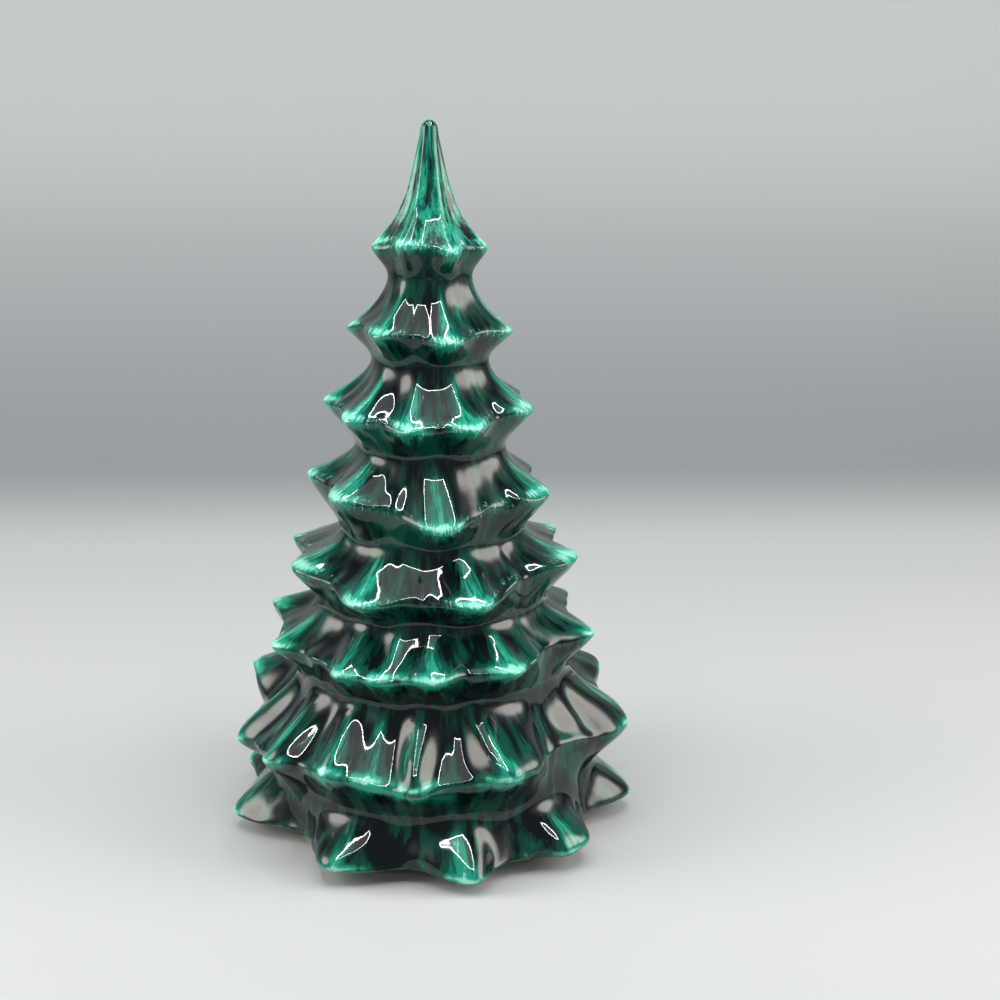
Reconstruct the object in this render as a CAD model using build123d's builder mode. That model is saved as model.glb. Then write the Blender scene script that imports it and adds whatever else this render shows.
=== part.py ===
from build123d import *
from math import cos, hypot, pi, radians, sin
import os

os.makedirs("parts", exist_ok=True)

# Clay casting, in millimetres, with heights measured up from its foot
CASTING_HEIGHT = 229.0
SPIRE_TIP_RADIUS = 2.7
SPIRE_TIP_FLAT = 0.9
WALL = 5.0
FLOOR = 6.0
FOOT_RADIUS = 51.0
POUR_HOLE_RADIUS = 26.0
HOLLOW_HEIGHT = 200.0

# Tiers from the top down: height and reach of the branch tips
TIP_HEIGHTS = (190.0, 164.0, 139.5, 111.0, 88.0, 65.0, 33.5, 4.0)
REACHES = (19.2, 28.0, 35.8, 41.6, 49.8, 56.0, 67.8, 69.6)

# Narrow neck under each tier, the foot standing in for the last one
NECK_HEIGHTS = (182.0, 155.5, 127.5, 100.0, 77.0, 53.5, 20.0, 0.0)
NECK_RADII = (12.8, 18.2, 23.6, 29.6, 36.8, 44.0, 53.0, FOOT_RADIUS)

# Branches of each tier as (compass angle in degrees, lift of the tip): 0 faces the front, 90 the right
BRANCHES = (
    ((-137, 1), (-84, 1.5), (-28, 2.5), (22, 0.4), (80, 1.5), (127, 1.5), (178, -0.5)),
    ((-140, 0), (-88, 2), (-40, 2), (12, 0), (75, 1), (122, 1), (172, 0.5)),
    ((-142, 1), (-92, 2), (-50, 0), (-12, -1), (21, -1), (70, 1.5), (125, 1), (172, 1)),
    ((-150, 1), (-95, 5.5), (-50, 4.5), (4, -2.5), (68, 3), (127, 3), (170, 1)),
    ((-153, 1), (-110, 4.5), (-67, 3), (-30, -2.5), (18, -2), (75, 4), (121, 3.5), (166, 1)),
    ((-150, 1), (-101, 6), (-70, 0), (-33, -1), (-17, -1.5), (0, -0.5), (28, 0.5), (73, 2.5), (125, 2),
     (168, 0)),
    ((-160, 2), (-112, 11), (-81, -4), (-54, 0), (-32, 2), (-19, 0.5), (-6, -0.5), (20, 2), (82, 0),
     (118, 6), (163, 3)),
    ((-143, 1), (-110, 4), (-79, 1), (-27, 1.5), (8, 0), (41, 2), (88, 1.5), (135, 3), (176, 0.5)),
)

# How round each tier's branches are: 0 for horns that flare to the tip, 1 for round noses
ROUNDNESS = (0.6, 0.1, 0.15, 0.3, 0.3, 0.25, 0.35, 0.8)

# Shape of a tier: valleys between branches, slope down to the tips and tuck back under them
VALLEY_DEPTH = 0.17
VALLEY_ROUNDING = 0.09
VALLEY_LIFT = 1.0
CREST_ROUNDING = 0.7
RIDGE_STRAIGHT = 0.15
RIDGE_FLARE = 2.4
SCOOP_STRAIGHT = 0.1
SCOOP_FLARE = 2.8
SPIRE_STRAIGHT = 0.45
SPIRE_FLARE = 5.0
TUCK_TURN = 1.1
TUCK_ROUNDING = 0.6
TUCK_END = 1.1
FLARE_STEPS = (0.16, 0.31, 0.44, 0.55, 0.65, 0.74, 0.82, 0.89, 0.95, 1.0)
TUCK_STEPS = (0.1, 0.2, 0.32, 0.45, 0.6, 0.8, 1.0)
OUTLINE_POINTS = 90

# The hollow follows this share of each tier's swell, as poured clay fills the branches
HOLLOW_SWELL = 0.3

# Fired glaze, wiped off above the foot
GLAZE_THICKNESS = 0.6
DRY_FOOT = 1.5

# Felt pads under the foot
PAD_COUNT = 4
PAD_RADIUS = 6.0
PAD_THICKNESS = 1.2
PAD_CIRCLE_RADIUS = 44.0
PAD_FIRST_ANGLE = 45.0

# Pads rest on z = 0, and the casting stands on the pads
FOOT_Z = PAD_THICKNESS


def branch_shape(tier, angle):
    """Return the nearness to a crest (1 on it, 0 midway to the next), and the rim's radius and height."""
    branches = BRANCHES[tier]
    following = branches[1:] + branches[:1]
    for (crest, lift), (next_crest, next_lift) in zip(branches, following):
        past = (angle - crest) % 360
        gap = (next_crest - crest) % 360
        if past <= gap:
            wave = sin(pi * past / gap)
            fall = hypot(wave, CREST_ROUNDING) - CREST_ROUNDING
            nearness = 1 - fall / (hypot(1, CREST_ROUNDING) - CREST_ROUNDING)
            depth = (VALLEY_DEPTH + VALLEY_ROUNDING * ROUNDNESS[tier]) * radians(gap)
            rim = REACHES[tier] * (1 - depth * (1 - nearness))
            near_lift = lift if past < gap / 2 else next_lift
            valley_lift = (lift + next_lift) / 2 + VALLEY_LIFT * radians(gap)
            return nearness, rim, TIP_HEIGHTS[tier] + near_lift + (valley_lift - near_lift) * wave**2


def trumpet(straight, power, step):
    """Return a spread from 0 to 1 that starts straight and flares towards its end."""
    return straight * step + (1 - straight) * step**power


def flare(tier, nearness, step):
    """Return how far the slope has spread, from 0 at the neck to 1 at the branch tips."""
    if tier == 0:
        return trumpet(SPIRE_STRAIGHT, SPIRE_FLARE, step)
    ridge = trumpet(RIDGE_STRAIGHT, RIDGE_FLARE, step)
    scoop = trumpet(SCOOP_STRAIGHT, SCOOP_FLARE, step)
    horn = scoop + (ridge - scoop) * nearness
    nose = step**2 * (3 - 2 * step)
    return horn + (nose - horn) * ROUNDNESS[tier]


def tuck(tier, step):
    """Return how much of the swell is left under the tips, from 1 at them to 0 at the neck."""
    return (1 - step ** (TUCK_TURN + TUCK_ROUNDING * ROUNDNESS[tier])) ** TUCK_END


def radius_at(tier, height, shape, upper_neck, lower_neck, inset):
    """Return the tier's radius at a height, on the slope over the rim or in the tuck under it."""
    nearness, rim, rim_height = shape
    if height > rim_height:
        neck_height, neck = upper_neck
        spread = flare(tier, nearness, (neck_height - height) / (neck_height - rim_height))
    else:
        neck_height, neck = lower_neck
        spread = tuck(tier, (rim_height - height) / (rim_height - neck_height))
    return neck - inset + (rim - inset - neck) * spread


def tree_sections(inset):
    """List the outlines from spire to foot as (height, radii), drawn in by the inset."""
    angles = [360 * point / OUTLINE_POINTS for point in range(OUTLINE_POINTS)]
    neck = (CASTING_HEIGHT - SPIRE_TIP_RADIUS, SPIRE_TIP_RADIUS)
    sections = [
        (CASTING_HEIGHT - inset, [SPIRE_TIP_FLAT] * OUTLINE_POINTS),
        (neck[0], [neck[1] - inset] * OUTLINE_POINTS),
    ]
    for tier, tip_height in enumerate(TIP_HEIGHTS):
        shapes = [branch_shape(tier, angle) for angle in angles]
        lower_neck = (NECK_HEIGHTS[tier], NECK_RADII[tier])
        heights = [neck[0] + (tip_height - neck[0]) * step for step in FLARE_STEPS]
        heights += [tip_height + (lower_neck[0] - tip_height) * step for step in TUCK_STEPS]
        for height in heights:
            radii = [radius_at(tier, height, shape, neck, lower_neck, inset) for shape in shapes]
            sections.append((height, radii))
        neck = lower_neck
    return sections


def outline(radii):
    """Turn radii into points around the axis, starting at the front."""
    turn = radians(360 / OUTLINE_POINTS)
    return [(radius * sin(turn * i), -radius * cos(turn * i)) for i, radius in enumerate(radii)]


def tiered_body(inset):
    """Build the tiered tree as one solid, drawn in by the inset."""
    with BuildPart() as body:
        for height, radii in tree_sections(inset):
            with BuildSketch(Plane.XY.offset(FOOT_Z + height)):
                with BuildLine():
                    Spline(*outline(radii), periodic=True)
                make_face()
        loft(ruled=True, clean=False)
    return body.part


def hollow_profile():
    """List points of the hollow's side from the top down, as (radius, height)."""
    points = []
    neck_above = SPIRE_TIP_RADIUS
    for tier, tip_height in enumerate(TIP_HEIGHTS[:-1]):
        neck = (neck_above + NECK_RADII[tier]) / 2
        swell = (REACHES[tier] - neck) * HOLLOW_SWELL
        points.append((neck + swell - WALL, FOOT_Z + tip_height))
        points.append((NECK_RADII[tier] - WALL, FOOT_Z + NECK_HEIGHTS[tier]))
        neck_above = NECK_RADII[tier]
    points.append((FOOT_RADIUS - WALL, FOOT_Z + FLOOR))
    return points


# Clay casting: the tiered shell, hollow to the top tier, with a floor and a pour hole
clay = tiered_body(GLAZE_THICKNESS)
hollow_side = hollow_profile()
with BuildPart() as tree_casting:
    add(clay, clean=False)
    with BuildSketch(Plane.XZ):
        with BuildLine():
            axis = Line((0, FOOT_Z), (0, FOOT_Z + HOLLOW_HEIGHT))
            Spline(axis @ 1, *hollow_side)
            floor_edge = (POUR_HOLE_RADIUS, FOOT_Z + FLOOR)
            Polyline(hollow_side[-1], floor_edge, (POUR_HOLE_RADIUS, FOOT_Z), axis @ 0)
        make_face()
    revolve(axis=Axis.Z, mode=Mode.SUBTRACT, clean=False)
tree_casting.part.label = "tree_casting"
export_step(tree_casting.part, "parts/tree_casting.step")

# Glaze coat: the fired glass between the outer skin and the clay, cut off above the foot
with BuildPart() as glaze_coat:
    add(tiered_body(0), clean=False)
    add(clay, mode=Mode.SUBTRACT, clean=False)
    split(bisect_by=Plane.XY.offset(FOOT_Z + DRY_FOOT), keep=Keep.TOP)
glaze_coat.part.label = "glaze_coat"
export_step(glaze_coat.part, "parts/glaze_coat.step")

# Felt pads: four discs stuck under the floor, which carry the tree
for pad in range(PAD_COUNT):
    angle = radians(PAD_FIRST_ANGLE + 360 * pad / PAD_COUNT)
    with BuildPart() as felt_pad:
        with Locations((PAD_CIRCLE_RADIUS * cos(angle), PAD_CIRCLE_RADIUS * sin(angle), PAD_THICKNESS / 2)):
            Cylinder(PAD_RADIUS, PAD_THICKNESS)
    pad_name = f"felt_pad_{pad + 1}"
    felt_pad.part.label = pad_name
    export_step(felt_pad.part, f"parts/{pad_name}.step")
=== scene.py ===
import math

import bmesh
import bpy
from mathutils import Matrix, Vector


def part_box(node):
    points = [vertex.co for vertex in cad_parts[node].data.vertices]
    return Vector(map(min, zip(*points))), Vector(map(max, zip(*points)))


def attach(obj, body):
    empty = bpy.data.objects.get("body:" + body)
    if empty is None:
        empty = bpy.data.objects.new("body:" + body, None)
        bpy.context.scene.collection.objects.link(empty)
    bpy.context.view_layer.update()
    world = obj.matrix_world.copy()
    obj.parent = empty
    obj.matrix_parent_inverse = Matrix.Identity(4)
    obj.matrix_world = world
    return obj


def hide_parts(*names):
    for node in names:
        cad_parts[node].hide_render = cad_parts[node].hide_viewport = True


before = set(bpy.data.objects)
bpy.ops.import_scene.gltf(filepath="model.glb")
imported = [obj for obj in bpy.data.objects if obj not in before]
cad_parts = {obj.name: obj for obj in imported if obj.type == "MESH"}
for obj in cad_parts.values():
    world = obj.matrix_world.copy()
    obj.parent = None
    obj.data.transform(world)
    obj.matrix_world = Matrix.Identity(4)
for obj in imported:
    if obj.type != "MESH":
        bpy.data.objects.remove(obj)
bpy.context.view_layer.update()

# Clay casting
# The real piece is one hollow slip-cast shell of white earthenware, a spire over eight tiers of
# blunt branches. Only its dry foot, its floor and the hollow seen through the pour hole stay bare.

MM = 0.001
pad_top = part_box("felt_pad_1")[1][2]
glaze_over_tip = 0.55 * MM
tree_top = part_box("tree_casting")[1][2] + glaze_over_tip
spire_tip_radius = 2.7 * MM

# Each tier from the top: tip height, reach, height and radius of the neck under it, and how round
# its branches are
tiers = [
    (190.0, 19.2, 182.0, 12.8, 0.6),
    (164.0, 28.0, 155.5, 18.2, 0.1),
    (139.5, 35.8, 127.5, 23.6, 0.15),
    (111.0, 41.6, 100.0, 29.6, 0.3),
    (88.0, 49.8, 77.0, 36.8, 0.3),
    (65.0, 56.0, 53.5, 44.0, 0.25),
    (33.5, 67.8, 20.0, 53.0, 0.35),
    (4.0, 69.6, 0.0, 51.0, 0.8),
]

# Branches of each tier as (compass angle, lift of the tip in mm): 0 faces the front, 90 the right
branches = [
    [(-137, 1), (-84, 1.5), (-28, 2.5), (22, 0.4), (80, 1.5), (127, 1.5), (178, -0.5)],
    [(-140, 0), (-88, 2), (-40, 2), (12, 0), (75, 1), (122, 1), (172, 0.5)],
    [(-142, 1), (-92, 2), (-50, 0), (-12, -1), (21, -1), (70, 1.5), (125, 1), (172, 1)],
    [(-150, 1), (-95, 5.5), (-50, 4.5), (4, -2.5), (68, 3), (127, 3), (170, 1)],
    [(-153, 1), (-110, 4.5), (-67, 3), (-30, -2.5), (18, -2), (75, 4), (121, 3.5), (166, 1)],
    [(-150, 1), (-101, 6), (-70, 0), (-33, -1), (-17, -1.5), (0, -0.5), (28, 0.5), (73, 2.5),
     (125, 2), (168, 0)],
    [(-160, 2), (-112, 11), (-81, -4), (-54, 0), (-32, 2), (-19, 0.5), (-6, -0.5), (20, 2),
     (82, 0), (118, 6), (163, 3)],
    [(-143, 1), (-110, 4), (-79, 1), (-27, 1.5), (8, 0), (41, 2), (88, 1.5), (135, 3), (176, 0.5)],
]


def neighbour_means(tier_branches):
    """Return each branch's angle, lift, gaps to its neighbours and mean lifts with them."""
    rows = []
    count = len(tier_branches)
    for i, (angle, lift) in enumerate(tier_branches):
        before_angle, before_lift = tier_branches[i - 1]
        after_angle, after_lift = tier_branches[(i + 1) % count]
        rows.append({
            "angle": math.radians(angle),
            "lift": lift * MM,
            "gap_before": math.radians((angle - before_angle) % 360),
            "gap_after": math.radians((after_angle - angle) % 360),
            "lift_before": (lift + before_lift) / 2 * MM,
            "lift_after": (lift + after_lift) / 2 * MM,
        })
    return rows


# Levels of the dial lie so far apart that the nearest branch is always one of the same tier
dial_spacing = 4.0


def branch_dial(name):
    """Make a mesh with one point for each branch on a dial, a tier to a level, with its sizes."""
    points = []
    columns = {}
    neck_z = tree_top - spire_tip_radius
    neck_r = spire_tip_radius
    for level, (tip, reach, low, low_radius, roundness) in enumerate(tiers):
        tier_sizes = {
            "reach": reach * MM, "tip_z": pad_top + tip * MM, "roundness": roundness,
            "top_z": neck_z, "top_r": neck_r, "low_z": pad_top + low * MM, "low_r": low_radius * MM,
        }
        for row in neighbour_means(branches[level]):
            angle = row["angle"]
            points.append((math.sin(angle), -math.cos(angle), dial_spacing * level))
            for key, value in (row | tier_sizes).items():
                columns.setdefault(key, []).append(value)
        neck_z = tier_sizes["low_z"]
        neck_r = tier_sizes["low_r"]
    mesh = bpy.data.meshes.new(name)
    mesh.from_pydata(points, [], [])
    for key, values in columns.items():
        mesh.attributes.new(key, "FLOAT", "POINT").data.foreach_set("value", values)
    return mesh


class Term:
    """A node socket that can be added, multiplied and raised like a number."""

    def __init__(self, tree, socket):
        self.tree = tree
        self.socket = socket

    def calc(self, operation, *others):
        """Work on this value and others with a maths node."""
        node = self.tree.nodes.new("ShaderNodeMath")
        node.operation = operation
        for slot, value in zip(node.inputs, (self,) + others):
            feed(self.tree, slot, value)
        return Term(self.tree, node.outputs[0])

    def __add__(self, other):
        return self.calc("ADD", other)

    def __radd__(self, other):
        return self.calc("ADD", other)

    def __sub__(self, other):
        return self.calc("SUBTRACT", other)

    def __rsub__(self, other):
        return self.calc("MULTIPLY_ADD", -1.0, other)

    def __mul__(self, other):
        return self.calc("MULTIPLY", other)

    def __truediv__(self, other):
        return self.calc("DIVIDE", other)

    def __pow__(self, other):
        return self.calc("POWER", other)

    def at_least(self, other):
        """Return the larger of this value and another one."""
        return self.calc("MAXIMUM", other)

    def at_most(self, other):
        """Return the smaller of this value and another one."""
        return self.calc("MINIMUM", other)

    def toward(self, other, share):
        """Move from this value to another one by a share."""
        return self + (other - self) * share


def feed(tree, slot, value):
    """Give a node's input a term's socket or a plain value."""
    if isinstance(value, Term):
        tree.links.new(value.socket, slot)
    else:
        slot.default_value = value


def place(tree, kind, inputs=None, **settings):
    """Add a node with its settings, and feed its inputs by name or number."""
    node = tree.nodes.new(kind)
    for name, value in settings.items():
        setattr(node, name, value)
    for name, value in (inputs or {}).items():
        feed(tree, node.inputs[name], value)
    return node


def out(tree, node, name=0):
    """Return a node's output as a term."""
    return Term(tree, node.outputs[name])


def combined(tree, x, y, z):
    """Join three values to a vector."""
    return out(tree, place(tree, "ShaderNodeCombineXYZ", {0: x, 1: y, 2: z}))


def ramp(term, low, high):
    """Ease a term from 0 at the low value to 1 at the high one."""
    return out(term.tree, place(term.tree, "ShaderNodeMapRange", {
        "Value": term, "From Min": low, "From Max": high}, interpolation_type="SMOOTHSTEP"))


def ring_spot(tree, turn, radius, height):
    """Return the spot at a turn from the front, a radius from the axis and a height."""
    return combined(tree, turn.calc("SINE") * radius, turn.calc("COSINE") * radius * -1.0, height)


def ring_noise(tree, turn, radius, height, detail):
    """Return noise about 0 that closes around the axis, and is finer for a larger radius."""
    spot = combined(tree, turn.calc("SINE") * radius, turn.calc("COSINE") * radius, height)
    return out(tree, place(tree, "ShaderNodeTexNoise", {
        "Vector": spot, "Scale": 1.0, "Detail": detail})) - 0.5


def skin_inputs(tree):
    """Give the skin's node tree its named inputs and its output."""
    face = tree.interface
    face.new_socket("Branch dial", in_out="INPUT", socket_type="NodeSocketGeometry")
    for label, kind, value in (
        ("Columns", "NodeSocketInt", 361),
        ("Outer rows", "NodeSocketInt", 225),
        ("Inner rows", "NodeSocketInt", 48),
        ("Tiers covered", "NodeSocketFloat", 8.0),
        ("Inset", "NodeSocketFloat", 0.0),
        ("Thickness", "NodeSocketFloat", 0.0),
        ("Relief", "NodeSocketFloat", 1.0),
        ("Rounding", "NodeSocketInt", 7),
        ("Seed", "NodeSocketFloat", 3.7),
    ):
        face.new_socket(label, in_out="INPUT", socket_type=kind).default_value = value
    face.new_socket("Finish", in_out="INPUT", socket_type="NodeSocketMaterial")
    face.new_socket("Skin", in_out="OUTPUT", socket_type="NodeSocketGeometry")
    return tree.nodes.new("NodeGroupInput")


# The way down counts tiers from the top. The spire's rounded end comes before 0, and the rows
# inside stand on even steps.
dome_share = 0.12
inner_steps = 6.0


def way_over_skin(tree, given):
    """Read a flat grid as the turn around the axis and the way down the tiers, and back up inside.

    Returns the grid, the turn, the way down, and 1 for the rows inside.
    """
    outer_rows = out(tree, given, "Outer rows")
    inner_rows = out(tree, given, "Inner rows")
    covered = out(tree, given, "Tiers covered")
    rows = outer_rows + inner_rows
    grid = place(tree, "GeometryNodeMeshGrid", {
        "Vertices X": out(tree, given, "Columns"), "Vertices Y": rows})
    flat = place(tree, "ShaderNodeSeparateXYZ", {
        0: out(tree, place(tree, "GeometryNodeInputPosition"))})
    turn = out(tree, flat, "X") * (2 * math.pi)
    row = ((0.5 - out(tree, flat, "Y")) * (rows - 1.0)).calc("ROUND")
    inner = row.calc("GREATER_THAN", outer_rows - 0.5)
    reached = (row / (outer_rows - 1.0)).toward((rows - 1.0 - row) / (inner_rows - 1.0), inner)
    down = reached * (covered + dome_share) - dome_share
    down = down.toward((down * inner_steps).calc("ROUND") / inner_steps, inner)
    down = down.at_least(-dome_share).at_most(covered)
    return out(tree, grid, "Mesh"), turn, down, inner


def branch_sampler(tree, dial, spot):
    """Return a function that reads a size of the branch nearest to a spot on the dial."""
    nearest = place(tree, "GeometryNodeSampleNearest", {"Geometry": dial, "Sample Position": spot})

    def sampled(key):
        value = place(tree, "GeometryNodeInputNamedAttribute", {"Name": key}, data_type="FLOAT")
        return out(tree, place(tree, "GeometryNodeSampleIndex", {
            "Geometry": dial, "Value": out(tree, value, "Attribute"), "Index": out(tree, nearest)}))

    return sampled


def trumpet(slope, shape):
    """Return a spread from 0 to 1 that starts straight and flares towards its end."""
    straight, flare = shape
    return slope * straight + slope**flare * (1 - straight)


def round_lips(tree, given, shaped):
    """Weld the skin, let surface tension round its outer lips and necks, and give it its finish."""
    weld_distance = 0.004 * MM
    merged = place(tree, "GeometryNodeMergeByDistance", {
        "Geometry": shaped, "Distance": weld_distance})
    eased = place(tree, "GeometryNodeBlurAttribute", {
        "Iterations": out(tree, given, "Rounding")}, data_type="FLOAT_VECTOR")
    feed(tree, [i for i in eased.inputs if i.enabled and i.name == "Value"][0],
         out(tree, place(tree, "GeometryNodeInputPosition")))
    outer = place(tree, "GeometryNodeInputNamedAttribute", {"Name": "outer"}, data_type="FLOAT")
    rounded = place(tree, "GeometryNodeSetPosition", {
        "Geometry": out(tree, merged),
        "Selection": out(tree, outer, "Attribute").calc("GREATER_THAN", 0.5),
        "Position": Term(tree, [o for o in eased.outputs if o.enabled][0])})
    smooth = place(tree, "GeometryNodeSetShadeSmooth", {"Geometry": out(tree, rounded)})
    real = place(tree, "GeometryNodeRealizeInstances", {"Geometry": out(tree, smooth)})
    return out(tree, place(tree, "GeometryNodeSetMaterial", {
        "Geometry": out(tree, real), "Material": out(tree, given, "Finish")}))


# Shape of a tier: valleys between the branches, trumpets given as (straight share, flare), and the
# tuck back under the tips
valley_depth = 0.17
valley_rounding = 0.09
valley_lift = 1.0 * MM
crest_rounding = 0.7
ridge_trumpet = (0.15, 2.4)
scoop_trumpet = (0.1, 2.8)
spire_trumpet = (0.45, 5.0)
tuck_turn = 1.1
tuck_rounding = 0.6
tuck_end = 1.1

# The slope takes this share of a tier's rows, and rows crowd towards the lip
slope_share = 0.6
slope_crowding = 1.5
tuck_crowding = 1.25

# A crest is pressed in where the gaps to its two neighbours leave it little room
crowded_room = math.radians(26)
free_room = math.radians(40)
crowding_press = 0.055

# Uneven relief of the poured slip: its widths in mm around the tree, how fast it changes from tier
# to tier, how far it stands out, and the tiers over which the lower ones' own forms come in
branch_sway = 0.16
sway_fineness = 2.2
sway_change = 2.6
ripple_change = 1.5
flute_width = 3.5
flute_depth = 0.3 * MM
flute_drop = 0.5 * MM
lobe_width = 11.0
lobe_sink = 0.2
lobe_share = 0.065
lower_lobe_share = 0.04
lobe_drop = 4.0 * MM
knob_width = 8.0
knob_height = 5.0 * MM
knobby_tiers = (3.5, 6.0)
hump_swell = 48.0 * MM
humped_tiers = (4.5, 6.0)

# What the glaze's streaks follow: their length over one tier, and a narrower girdle up the spire
tier_run = 24 * MM
spire_narrowing = 0.7


def tiered_skin():
    """Build the node tree that turns the branch dial into the tree's skin."""
    tree = bpy.data.node_groups.new("tiered_skin", "GeometryNodeTree")
    given = skin_inputs(tree)
    relief = out(tree, given, "Relief")
    seed = out(tree, given, "Seed")
    grid, turn, down, inner = way_over_skin(tree, given)
    inset = out(tree, given, "Inset") + out(tree, given, "Thickness") * inner
    level = down.calc("FLOOR").at_least(0.0).at_most(len(tiers) - 1.0)
    along = (down - level).at_least(0.0)
    on_spire = level.calc("LESS_THAN", 0.5)

    # The nearest branch on this tier, and how far this point is towards the next one
    sway = ring_noise(tree, turn, sway_fineness, down * sway_change + seed, 1.0)
    swayed = turn + sway * branch_sway
    dial_spot = ring_spot(tree, swayed, 1.0, level * dial_spacing)
    sampled = branch_sampler(tree, out(tree, given, "Branch dial"), dial_spot)
    reach = sampled("reach")
    roundness = sampled("roundness")
    past = swayed - sampled("angle")
    past = past - (past / (2 * math.pi)).calc("ROUND") * (2 * math.pi)
    after = past.calc("GREATER_THAN", 0.0)
    gap = sampled("gap_before").toward(sampled("gap_after"), after)
    sine = (past.calc("ABSOLUTE") / gap * math.pi).calc("SINE")
    midway = sine * sine
    fall = (midway + crest_rounding**2).calc("SQRT") - crest_rounding
    crest = 1.0 - fall / (math.hypot(1, crest_rounding) - crest_rounding)

    # The rim that the branch tips and the valleys between them make
    lift_beside = sampled("lift_before").toward(sampled("lift_after"), after) + gap * valley_lift
    tip_z = sampled("tip_z") + sampled("lift").toward(lift_beside, midway)
    free = ramp(sampled("gap_before") + sampled("gap_after"), crowded_room, free_room)
    valley = gap * (roundness * valley_rounding + valley_depth) * (1.0 - crest)
    pressed = crest * (1.0 - free) * relief * crowding_press
    rim = reach * (1.0 - (valley + pressed)) - inset * 2.0

    # The slope from the neck down to the tips, then the tuck back under them
    tucking = along.calc("GREATER_THAN", slope_share)
    slope = 1.0 - (1.0 - along / slope_share).at_least(0.0) ** slope_crowding
    tuck = ((along - slope_share) / (1 - slope_share)).at_least(0.0) ** tuck_crowding
    horn = trumpet(slope, scoop_trumpet).toward(trumpet(slope, ridge_trumpet), crest)
    nose = slope * slope * (3.0 - slope * 2.0)
    spread = horn.toward(nose, roundness).toward(trumpet(slope, spire_trumpet), on_spire)
    left_over = (1.0 - tuck ** (roundness * tuck_rounding + tuck_turn)).at_least(0.0) ** tuck_end
    top_r = sampled("top_r") - inset
    low_r = sampled("low_r") - inset
    slope_r = top_r + (rim - top_r) * spread
    tuck_r = low_r + (rim - low_r) * left_over
    radius = slope_r.toward(tuck_r, tucking)
    slope_z = sampled("top_z").toward(tip_z, slope)
    tuck_z = tip_z.toward(sampled("low_z"), tuck)
    height = slope_z.toward(tuck_z, tucking)

    # The rounded end of the spire
    on_dome = down.calc("LESS_THAN", 0.0)
    dome_turn = (down * (-1.0 / dome_share)).at_least(0.0) * (math.pi / 2)
    dome_radius = spire_tip_radius - inset
    radius = radius.toward(dome_radius * dome_turn.calc("COSINE"), on_dome)
    height = height.toward(sampled("top_z") + dome_radius * dome_turn.calc("SINE"), on_dome)

    # Uneven lobes, knobs on the lower tiers, small flutes, uneven lips and humps down the branches
    def ripples(width, detail):
        return ring_noise(
            tree, turn, reach / MM / width, down * ripple_change + seed, detail) * relief

    lip = (slope - tuck).at_least(0.0)
    lower = ramp(level, *knobby_tiers)
    flute = ripples(flute_width, 1.0)
    lobe = ripples(lobe_width, 1.0) - relief * lobe_sink
    knob = ripples(knob_width, 0.0) * lower
    lobe_reach = reach * (lobe_share + lower * lower_lobe_share)
    hump = crest * slope * slope * (1.0 - slope) * (1.0 - roundness) * free
    hump = hump * ramp(level, *humped_tiers)
    radius = radius + lip * lip * flute * flute_depth
    radius = radius + lip * (lobe * lobe_reach + knob * knob_height)
    radius = radius + hump * relief * hump_swell
    height = height + lip * lip * (flute * flute_drop + lobe * lobe_drop)

    # What the finishes read: where each point lies on its branch, and how the glaze ran over it
    girdle = reach * (1.0 - on_spire * spire_narrowing * (1.0 - slope * slope))
    flow = combined(
        tree, turn.calc("SINE") * girdle, turn.calc("COSINE") * girdle, down * tier_run)
    stored = grid
    for key, kind, value in (
        ("outer", "FLOAT", (1.0 - inner) * down.calc("GREATER_THAN", 0.02)),
        ("rise", "FLOAT", slope.toward(1.0 - tuck, tucking)),
        ("under", "FLOAT", tucking),
        ("from_lip", "FLOAT", (height - tip_z).calc("ABSOLUTE")),
        ("beside", "FLOAT", past.calc("ABSOLUTE") * reach),
        ("branch", "FLOAT", sampled("angle") + level * 7.0),
        ("flow", "FLOAT_VECTOR", flow),
    ):
        stored = out(tree, place(tree, "GeometryNodeStoreNamedAttribute", {
            "Geometry": stored, "Name": key, "Value": value}, data_type=kind))
    shaped = place(tree, "GeometryNodeSetPosition", {
        "Geometry": stored, "Position": ring_spot(tree, turn, radius, height)})
    result = tree.nodes.new("NodeGroupOutput")
    feed(tree, result.inputs["Skin"], round_lips(tree, given, out(tree, shaped)))
    return tree


def run_nodes(mesh, tree, inputs, name):
    """Run a node tree on a mesh and return the result as a plain mesh."""
    carrier = bpy.data.objects.new(name + "_carrier", mesh)
    bpy.context.scene.collection.objects.link(carrier)
    modifier = carrier.modifiers.new("nodes", "NODES")
    modifier.node_group = tree
    for socket in tree.interface.items_tree:
        if socket.in_out == "INPUT" and socket.name in inputs:
            modifier[socket.identifier] = inputs[socket.name]
    evaluated = carrier.evaluated_get(bpy.context.evaluated_depsgraph_get())
    result = bpy.data.meshes.new_from_object(evaluated)
    result.name = name
    bpy.data.objects.remove(carrier)
    return result


def line_inside(mesh, profile):
    """Close a mesh from its open lower edge with rings that follow a round profile to the axis."""
    pole_rise = 0.2 * MM
    work = bmesh.new()
    work.from_mesh(mesh)
    edge = {v for e in work.edges if e.is_boundary for v in e.verts}
    ring = sorted(edge, key=lambda v: math.atan2(v.co.x, -v.co.y))
    headings = [v.co.xy.normalized() for v in ring]
    for radius, height in profile:
        inner = [work.verts.new((x * radius, y * radius, height)) for x, y in headings]
        for i, vert in enumerate(ring):
            work.faces.new((vert, ring[i - 1], inner[i - 1], inner[i]))
        ring = inner
    pole = work.verts.new((0, 0, profile[-1][1] + pole_rise))
    for i, vert in enumerate(ring):
        work.faces.new((vert, ring[i - 1], pole))
    bmesh.ops.recalc_face_normals(work, faces=work.faces)
    for face in work.faces:
        face.smooth = True
    work.to_mesh(mesh)
    work.free()


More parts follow.
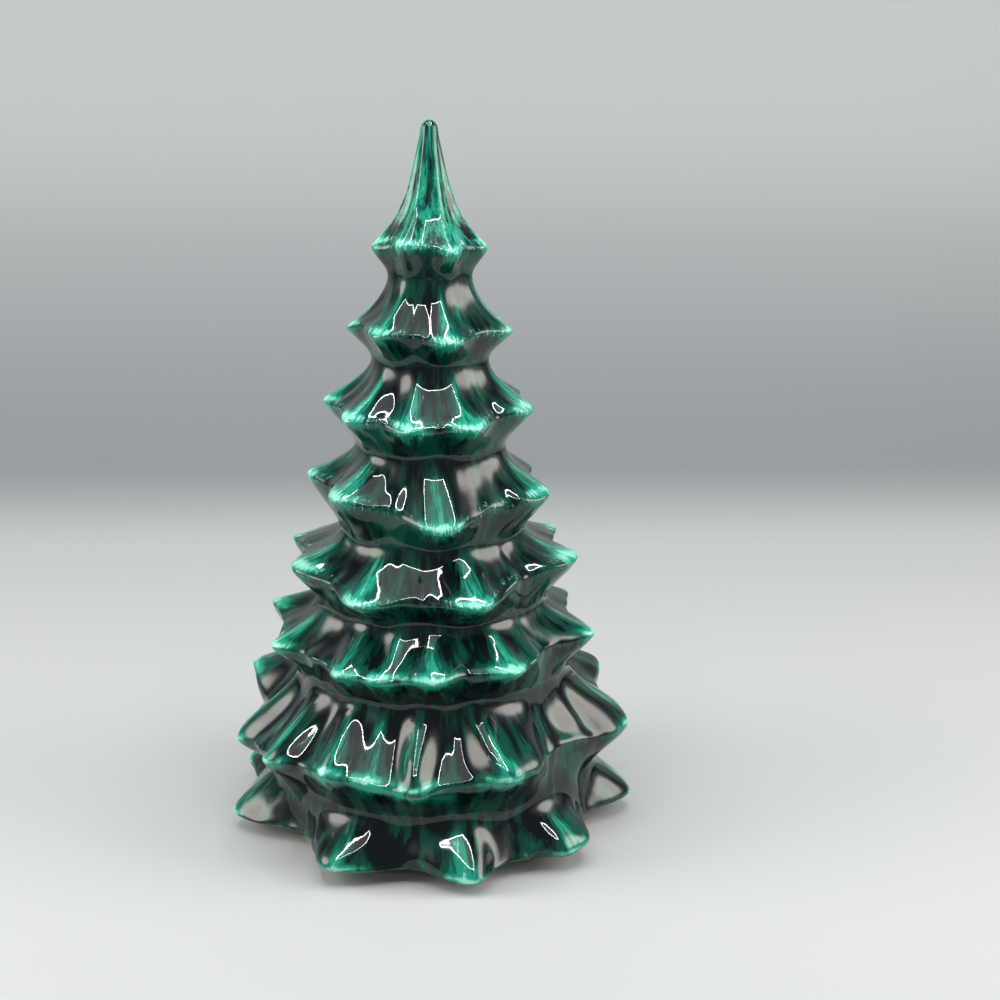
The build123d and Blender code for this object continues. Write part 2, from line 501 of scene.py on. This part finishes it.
def add_piece(name, mesh):
    """Put a finished mesh in the scene as a piece of the object."""
    piece = bpy.data.objects.new(name, mesh)
    bpy.context.scene.collection.objects.link(piece)
    return piece


def new_finish(name):
    """Start a material and return it with its node tree and surface shader."""
    material = bpy.data.materials.new(name)
    material.use_nodes = True
    tree = material.node_tree
    return material, tree, tree.nodes["Principled BSDF"]


def tint(tree, first, second, share):
    """Mix two colours by a share."""
    node = place(tree, "ShaderNodeMix", data_type="RGBA")
    feed(tree, node.inputs[0], share)
    feed(tree, node.inputs[6], first)
    feed(tree, node.inputs[7], second)
    return out(tree, node, 2)


def clay_finish():
    """Make dry fired earthenware: off-white, faintly mottled, with fine grain."""
    material, tree, surface = new_finish("bare_fired_clay")
    spot = out(tree, place(tree, "ShaderNodeTexCoord"), "Object")
    mottle = place(tree, "ShaderNodeTexNoise", {"Vector": spot, "Scale": 60.0, "Detail": 4.0})
    grain = place(tree, "ShaderNodeTexNoise", {"Vector": spot, "Scale": 1400.0, "Detail": 2.0})
    pale = (0.72, 0.66, 0.56, 1)
    warm = (0.55, 0.47, 0.37, 1)
    colour = tint(tree, pale, warm, ramp(out(tree, mottle), 0.4, 0.75))
    feed(tree, surface.inputs["Base Color"], colour)
    feed(tree, surface.inputs["Roughness"], 0.78 + out(tree, grain) * 0.15)
    bump = place(tree, "ShaderNodeBump", {
        "Strength": 0.35, "Distance": 0.15 * MM, "Height": out(tree, grain)})
    feed(tree, surface.inputs["Normal"], out(tree, bump))
    return material


# The pour hole, then the hollow from the floor up, as (radius, height over the foot) in mm
floor_thickness = 6.0
hole_radius = 26.0
hollow_sides = [
    (46.0, 6.0), (47.4, 11.0), (48.0, 20.0), (49.0, 33.5), (45.0, 44.0), (39.0, 53.5), (39.8, 65.0),
    (31.8, 77.0), (33.0, 88.0), (24.6, 100.0), (25.9, 111.0), (18.6, 127.5), (20.2, 139.5),
    (13.2, 155.5), (14.1, 164.0), (7.8, 182.0), (6.1, 190.0), (2.0, 198.5),
]
inside = [(hole_radius, 0.0), (hole_radius, floor_thickness)] + hollow_sides

# The clay lies this far under the outside of the glaze
clay_inset = 1.3 * MM
skin_tree = tiered_skin()
casting_mesh = run_nodes(branch_dial("casting_dial"), skin_tree, {
    "Columns": 181, "Outer rows": 100, "Inner rows": 0, "Tiers covered": 8.0,
    "Inset": clay_inset, "Rounding": 0, "Finish": clay_finish()}, "tree_casting_clay")
line_inside(casting_mesh, [(radius * MM, pad_top + height * MM) for radius, height in inside])
casting = add_piece("clay_casting", casting_mesh)
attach(casting, "root")
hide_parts("tree_casting")

# Glaze coat
# The real coat is a bright, glassy green glaze, poured over the clay and fired until it ran. It
# pools near black in the hollows and breaks to jade and mint where it is thin on crests and lips.


def glaze_finish():
    """Make the flowing green glaze: dark pools, jade crests and mint lips with feathery streaks."""
    material, tree, surface = new_finish("flowing_green_glaze")

    def given(name, output="Fac"):
        return out(tree, place(tree, "ShaderNodeAttribute", attribute_name=name), output)

    def noise(x, y, z, detail):
        return out(tree, place(tree, "ShaderNodeTexNoise", {
            "Vector": combined(tree, x, y, z), "Scale": 1.0, "Detail": detail,
            "Roughness": 0.6})) - 0.5

    def streaks(across, along, detail):
        return noise(around_x * across, around_y * across, down * along, detail)

    # Where a point lies, in mm down the tree, from its lip and from its branch's crest. Beside the
    # crest, small girdles count as larger ones, so that all tiers have fans alike.
    flow = place(tree, "ShaderNodeSeparateXYZ", {0: given("flow", "Vector")})
    around_x = out(tree, flow, "X") / MM
    around_y = out(tree, flow, "Y") / MM
    down = out(tree, flow, "Z") / MM
    girdle = (around_x**2.0 + around_y**2.0) ** 0.5
    full_girdle = 40.0
    from_lip = given("from_lip") / MM
    beside = given("beside") / MM * (girdle**-1.0 * full_girdle).at_least(1.0)
    under = given("under")
    upper = 1.0 - under
    fall = 1.0 - given("rise")
    branch = given("branch")

    # Streaks and spots that run downhill, barbs that follow each branch's fan, and how lively a
    # branch is
    hairs = streaks(1.3, 0.2, 3.0)
    runs = streaks(0.28, 0.12, 3.0)
    clouds = streaks(0.09, 0.09, 2.0)
    specks = streaks(1.9, 1.3, 2.0)
    mottle = streaks(0.17, 0.13, 1.5)
    fan_at_neck = 1.5
    fan_growth = 6.5
    fan = beside / (fan_at_neck + (1.0 - fall) * fan_growth)
    barbs = noise(fan * 3.2, fall * 2.2, branch * 3.1, 3.0)
    lively = noise(branch * 5.3, 0.0, 0.0, 0.0) * 1.6 + 0.5

    # The upper tiers are furred with hairs at the lips, and the lower ones are calmly mottled
    fur_fades = (95.0, 150.0)
    calm = ramp(down, *fur_fades) * 0.8
    furry = 1.0 - calm

    # Where the glaze ran thin: fans down the crests, and hairs that hang and stand at the lips,
    # with painted light that lifts the shaded undersides
    near_tip = 1.0 - ramp(beside + runs * 14.0, 2.0, 12.0)
    on_crest = 1.0 - ramp(fan + barbs * 1.7 + runs * 1.8 - lively * 0.45, 0.0, 0.75)
    on_crest = on_crest * (0.5 + ramp(runs + hairs * 0.5, -0.12, 0.12) * 0.5)
    blotches = ramp(runs + clouds * 1.2 + hairs * 0.2, 0.12, 0.42) * 0.55
    on_slope = on_crest.at_least(blotches) * (1.0 - ramp(fall, 0.55, 1.0)) * upper
    shortest_hair = 0.5
    hair = 2.6 + hairs * furry * 9.0 + runs * 13.0 + near_tip * 2.4
    hair = hair.at_least(shortest_hair)
    hanging = (1.0 - ramp(from_lip / hair, 0.0, 1.4)) * under
    standing = (1.0 - ramp(from_lip / hair, 0.0, 0.7)) * upper
    tufts = hanging * (0.35 + near_tip * 0.65) + standing * (0.1 + near_tip * 0.9)
    spire_ends = (10.0, 21.0)
    spire = (1.0 - ramp(down, *spire_ends)) * ramp(runs + hairs * 0.2, -0.16, 0.1)
    thin_glaze_and_painted_light = (on_slope * 0.85).at_least(tufts).at_least(spire * 0.8)
    # Painted light: the undersides (under) are lifted from the near-black pool towards deep green,
    # to make up for the shade they sit in. The lower tiers are made a little darker (calm).
    thin_glaze_and_painted_light = thin_glaze_and_painted_light + clouds * 0.45 + under * 0.1 + (mottle * 1.5 - 0.1) * calm

    # Where it is thinnest: a feathered line along the lips, and veins down the crests
    lip_width = 1.6
    vein_width = 1.3
    feathers = (hairs * (4.0 + under * 8.0) + specks * 4.0) * furry
    lip_line = 1.0 - ramp(from_lip + feathers, 0.0, lip_width)
    vein = (1.0 - ramp(beside + barbs * 5.0, 0.0, vein_width)) * on_slope * lively
    palest = lip_line * (0.43 + near_tip * 0.15) + on_slope * 0.2
    palest = palest + vein * (0.9 - furry * 0.4) + tufts * 0.16 + spire * 0.25
    palest = palest + (specks * 1.4 - hairs * 0.8) * furry + barbs * 0.6 + runs * 0.5
    palest = ramp(palest + furry * 0.15 + mottle * calm * 0.7, 0.62, 1.0)

    pool = (0.002, 0.005, 0.0065, 1)
    deep = (0.004, 0.060, 0.042, 1)
    jade = (0.014, 0.30, 0.195, 1)
    mint = (0.28, 0.71, 0.59, 1)
    bristles = hairs * furry * (0.15 + tufts * 0.5)
    colour = tint(tree, pool, deep, ramp(thin_glaze_and_painted_light + runs * 0.9 + clouds * 0.4, -0.12, 0.24))
    colour = tint(tree, colour, jade, ramp(thin_glaze_and_painted_light + bristles + barbs * 0.35, 0.28, 0.85))
    colour = tint(tree, colour, mint, palest * 0.9)
    feed(tree, surface.inputs["Base Color"], colour)
    surface.inputs["IOR"].default_value = 1.55
    surface.inputs["Specular IOR Level"].default_value = 0.45
    feed(tree, surface.inputs["Roughness"], 0.05 + clouds * 0.04)
    spot = out(tree, place(tree, "ShaderNodeTexCoord"), "Object")
    ripple = place(tree, "ShaderNodeTexNoise", {"Vector": spot, "Scale": 150.0, "Detail": 1.0})
    bump = place(tree, "ShaderNodeBump", {
        "Strength": 0.15, "Distance": 0.6 * MM, "Height": out(tree, ripple) + hairs * 0.05})
    feed(tree, surface.inputs["Normal"], out(tree, bump))
    return material


# The coat ends a little above the foot, where the real one is wiped off before firing
tiers_glazed = 7.88
glaze_thickness = 0.6 * MM
glaze_mesh = run_nodes(branch_dial("glaze_dial"), skin_tree, {
    "Columns": 361, "Outer rows": 225, "Inner rows": 48, "Tiers covered": tiers_glazed,
    "Thickness": glaze_thickness, "Finish": glaze_finish()}, "glaze_coat_glass")
glaze = add_piece("green_glaze", glaze_mesh)
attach(glaze, "root")
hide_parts("glaze_coat")

# Felt pads
# The real pads are four thin discs of pressed wool felt, cut out and glued under the dry foot so
# that the clay doesn't scratch what it stands on.


def pad_discs():
    """Build the node tree that sets soft felt discs around a circle."""
    tree = bpy.data.node_groups.new("pad_discs", "GeometryNodeTree")
    face = tree.interface
    face.new_socket("Geometry", in_out="INPUT", socket_type="NodeSocketGeometry")
    for label, kind, value in (
        ("Count", "NodeSocketInt", 4),
        ("Circle radius", "NodeSocketFloat", 44.0 * MM),
        ("Pad radius", "NodeSocketFloat", 6.0 * MM),
        ("Thickness", "NodeSocketFloat", 1.2 * MM),
        ("First angle", "NodeSocketFloat", math.pi / 4),
        ("Seed", "NodeSocketFloat", 1.3),
    ):
        face.new_socket(label, in_out="INPUT", socket_type=kind).default_value = value
    face.new_socket("Finish", in_out="INPUT", socket_type="NodeSocketMaterial")
    face.new_socket("Pads", in_out="OUTPUT", socket_type="NodeSocketGeometry")
    given = tree.nodes.new("NodeGroupInput")
    pad_radius = out(tree, given, "Pad radius")
    thickness = out(tree, given, "Thickness")

    # A disc with a ragged rim and softened edges
    raggedness = 0.06
    edge_rounding = 0.16
    edge_thinning = 0.25
    disc = place(tree, "GeometryNodeMeshCylinder", {
        "Vertices": 48, "Side Segments": 4, "Fill Segments": 8,
        "Radius": pad_radius, "Depth": thickness})
    spot = out(tree, place(tree, "GeometryNodeInputPosition"))
    parts = place(tree, "ShaderNodeSeparateXYZ", {0: spot})
    x = out(tree, parts, "X")
    y = out(tree, parts, "Y")
    z = out(tree, parts, "Z")
    rim = (x * x + y * y).calc("SQRT") / pad_radius
    fuzz = place(tree, "ShaderNodeTexNoise", {
        "Vector": spot, "W": out(tree, given, "Seed"), "Scale": 900.0, "Detail": 2.0},
        noise_dimensions="4D")
    ragged = 1.0 - out(tree, fuzz) * rim**4.0 * raggedness
    height = z / thickness
    bulge = 1.0 - (height * height) * edge_rounding * rim**6.0
    flattened = 1.0 - rim**10.0 * edge_thinning
    soft = place(tree, "GeometryNodeSetPosition", {
        "Geometry": out(tree, disc, "Mesh"),
        "Position": combined(tree, x * ragged * bulge, y * ragged * bulge, z * flattened)})

    # One disc on each point of the circle, resting on the table
    circle = place(tree, "GeometryNodeMeshCircle", {
        "Vertices": out(tree, given, "Count"), "Radius": out(tree, given, "Circle radius")})
    seated = place(tree, "GeometryNodeTransform", {
        "Geometry": out(tree, circle),
        "Translation": combined(tree, 0.0, 0.0, thickness * 0.5),
        "Rotation": combined(tree, 0.0, 0.0, out(tree, given, "First angle"))})
    pads = place(tree, "GeometryNodeInstanceOnPoints", {
        "Points": out(tree, seated), "Instance": out(tree, soft)})
    real = place(tree, "GeometryNodeRealizeInstances", {"Geometry": out(tree, pads)})
    finished = place(tree, "GeometryNodeSetMaterial", {
        "Geometry": out(tree, real), "Material": out(tree, given, "Finish")})
    result = tree.nodes.new("NodeGroupOutput")
    feed(tree, result.inputs["Pads"], out(tree, finished))
    return tree


def felt_finish():
    """Make pressed wool felt: dark green, dull, with short matted fibres."""
    material, tree, surface = new_finish("pressed_green_felt")
    spot = out(tree, place(tree, "ShaderNodeTexCoord"), "Object")
    fibres = place(tree, "ShaderNodeTexNoise", {
        "Vector": spot, "Scale": 1800.0, "Detail": 5.0, "Distortion": 2.0})
    clumps = place(tree, "ShaderNodeTexNoise", {"Vector": spot, "Scale": 260.0, "Detail": 2.0})
    dark = (0.012, 0.035, 0.02, 1)
    light = (0.05, 0.11, 0.065, 1)
    share = ramp(out(tree, fibres) * 0.7 + out(tree, clumps) * 0.3, 0.35, 0.7)
    feed(tree, surface.inputs["Base Color"], tint(tree, dark, light, share))
    surface.inputs["Roughness"].default_value = 0.95
    surface.inputs["Sheen Weight"].default_value = 0.4
    bump = place(tree, "ShaderNodeBump", {
        "Strength": 0.6, "Distance": 0.3 * MM, "Height": out(tree, fibres)})
    feed(tree, surface.inputs["Normal"], out(tree, bump))
    return material


pad_nodes = ["felt_pad_1", "felt_pad_2", "felt_pad_3", "felt_pad_4"]
pad_low, pad_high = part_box("felt_pad_1")
pad_middle = [(low + high) / 2 for low, high in zip(pad_low, pad_high)]
pads_mesh = run_nodes(bpy.data.meshes.new("pad_seed"), pad_discs(), {
    "Count": len(pad_nodes),
    "Circle radius": math.hypot(pad_middle[0], pad_middle[1]),
    "Pad radius": (pad_high[0] - pad_low[0]) / 2,
    "Thickness": pad_high[2] - pad_low[2],
    "Finish": felt_finish()}, "felt_pad_discs")
pads = add_piece("felt_pads", pads_mesh)
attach(pads, "root")
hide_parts(*pad_nodes)

# Studio
# A pale table that curves up into a backdrop greyed by painted shade, soft light from both sides
# and a frame of thin lamps overhead, whose outline shows in the glaze. The camera stands where the
# photograph's did.

backdrop_y = 0.42


def sweep_mesh():
    """Make the table and backdrop as one curved sheet."""
    half_width = 1.2
    front = -0.2
    bend = 0.14
    bend_steps = 12
    top = 1.4
    line = [(front, 0.0), (backdrop_y - bend, 0.0)]
    for step in range(1, bend_steps + 1):
        turn = math.pi / 2 * step / bend_steps
        line.append((backdrop_y - bend + bend * math.sin(turn), bend - bend * math.cos(turn)))
    line.append((backdrop_y, top))
    verts = []
    faces = []
    for y, z in line:
        verts += [(-half_width, y, z), (half_width, y, z)]
    for i in range(len(line) - 1):
        faces.append((2 * i, 2 * i + 1, 2 * i + 3, 2 * i + 2))
    mesh = bpy.data.meshes.new("table_and_backdrop")
    mesh.from_pydata(verts, [], faces)
    for face in mesh.polygons:
        face.use_smooth = True
    return mesh


def sweep_finish():
    """Make matte pale card, greyed on the backdrop by painted shade that is darkest towards its
    foot.
    """
    material, tree, surface = new_finish("pale_card_with_painted_shade")
    spot = out(tree, place(tree, "ShaderNodeTexCoord"), "Object")
    height = out(tree, place(tree, "ShaderNodeSeparateXYZ", {0: spot}), "Z")
    # Painted shade: the card is mixed to the dark shade at the backdrop's foot and to the lighter
    # grey up its face, where more light falls from above.
    table = (0.615, 0.63, 0.645, 1)
    shade = (0.225, 0.243, 0.257, 1)
    light = (0.410, 0.432, 0.450, 1)
    colour = tint(tree, table, shade, ramp(height, -0.02, 0.03))
    colour = tint(tree, colour, light, ramp(height, 0.03, 0.22))
    feed(tree, surface.inputs["Base Color"], colour)
    surface.inputs["Roughness"].default_value = 0.9
    surface.inputs["Specular IOR Level"].default_value = 0.2
    return material


sweep = bpy.data.objects.new("table_and_backdrop", sweep_mesh())
sweep.data.materials.append(sweep_finish())
bpy.context.scene.collection.objects.link(sweep)


def lamp(name, spot, aim, size, watts, colour=(1.0, 1.0, 1.0)):
    """Hang a soft rectangular lamp at a spot, turned towards a point."""
    light = bpy.data.lights.new(name, "AREA")
    light.shape = "RECTANGLE"
    light.size, light.size_y = size
    light.energy = watts
    light.color = colour
    holder = bpy.data.objects.new(name, light)
    bpy.context.scene.collection.objects.link(holder)
    holder.location = spot
    ray = Vector(aim) - Vector(spot)
    holder.rotation_euler = ray.to_track_quat("-Z", "Y").to_euler()
    return holder


def soften(holder):
    """Fade a lamp from full strength in its middle to none at its edges."""
    bright_middle = 0.45
    holder.data.use_nodes = True
    tree = holder.data.node_tree
    spot = out(tree, place(tree, "ShaderNodeNewGeometry"), "Parametric")
    parts = place(tree, "ShaderNodeSeparateXYZ", {0: spot})
    across = (out(tree, parts, "X") - 0.5) * 2.0
    upward = (out(tree, parts, "Y") - 0.5) * 2.0
    fade = ramp((across**2.0 + upward**2.0) ** 0.5, bright_middle, 1.0)
    feed(tree, tree.nodes["Emission"].inputs["Strength"], 1.0 - fade)


# A wide dim panel and a smaller bright softbox on each side
tree_middle = (0.0, 0.0, 0.11)
warm_white = (1.0, 0.95, 0.87)
panel_x = 0.6
softbox_x = 0.57
for side, sign in (("left", -1), ("right", 1)):
    soften(lamp(side + "_panel", spot=(sign * panel_x, -0.1, 0.36), aim=tree_middle,
                size=(1.0, 1.0), watts=2.4, colour=warm_white))
    soften(lamp(side + "_softbox", spot=(sign * softbox_x, -0.1, 0.36), aim=tree_middle,
                size=(0.58, 0.58), watts=6.6, colour=warm_white))
backdrop_softbox = lamp("backdrop_softbox", spot=(0.0, -0.05, 1.05), aim=(0.0, backdrop_y, 0.62),
                        size=(1.2, 0.2), watts=0.8)
backdrop_softbox.data.spread = math.radians(80)

# The overhead frame: a dim diffuser with a thin bright strip along each edge
strip_z = 0.62
strip_x = 0.20
strip_y = (-0.34, 0.02)
strip_width = 0.009
strip_watts = 0.75
strip_middle = (strip_y[0] + strip_y[1]) / 2
strip_length = strip_y[1] - strip_y[0]
diffuser_z = strip_z + 0.01
lamp("diffuser", spot=(0.0, strip_middle, diffuser_z), aim=(0.0, strip_middle, 0.0),
     size=(2 * strip_x, strip_length), watts=0.5)
for side, x in (("left", -strip_x), ("right", strip_x)):
    lamp("strip_" + side, spot=(x, strip_middle, strip_z), aim=(x, strip_middle, 0.0),
         size=(strip_width, strip_length), watts=strip_watts)
for side, y in (("front", strip_y[0]), ("back", strip_y[1])):
    lamp("strip_" + side, spot=(0.0, y, strip_z), aim=(0.0, y, 0.0),
         size=(2 * strip_x, strip_width), watts=strip_watts)

world = bpy.data.worlds.new("studio_air")
bpy.context.scene.world = world
world.use_nodes = True
air = world.node_tree.nodes["Background"]
air.inputs["Color"].default_value = (0.70, 0.78, 0.88, 1)
air.inputs["Strength"].default_value = 0.22

camera = bpy.data.cameras.new("camera")
camera.lens = 64.8
camera.sensor_width = 36.0
viewer = bpy.data.objects.new("camera", camera)
bpy.context.scene.collection.objects.link(viewer)
viewer.location = (0.0, -0.567, 0.263)
look_down, roll, look_aside = 15.25, -0.2, -2.2
viewer.rotation_euler = [math.radians(angle) for angle in (90 - look_down, roll, look_aside)]
bpy.context.scene.camera = viewer
bpy.context.scene.view_settings.view_transform = "Standard"
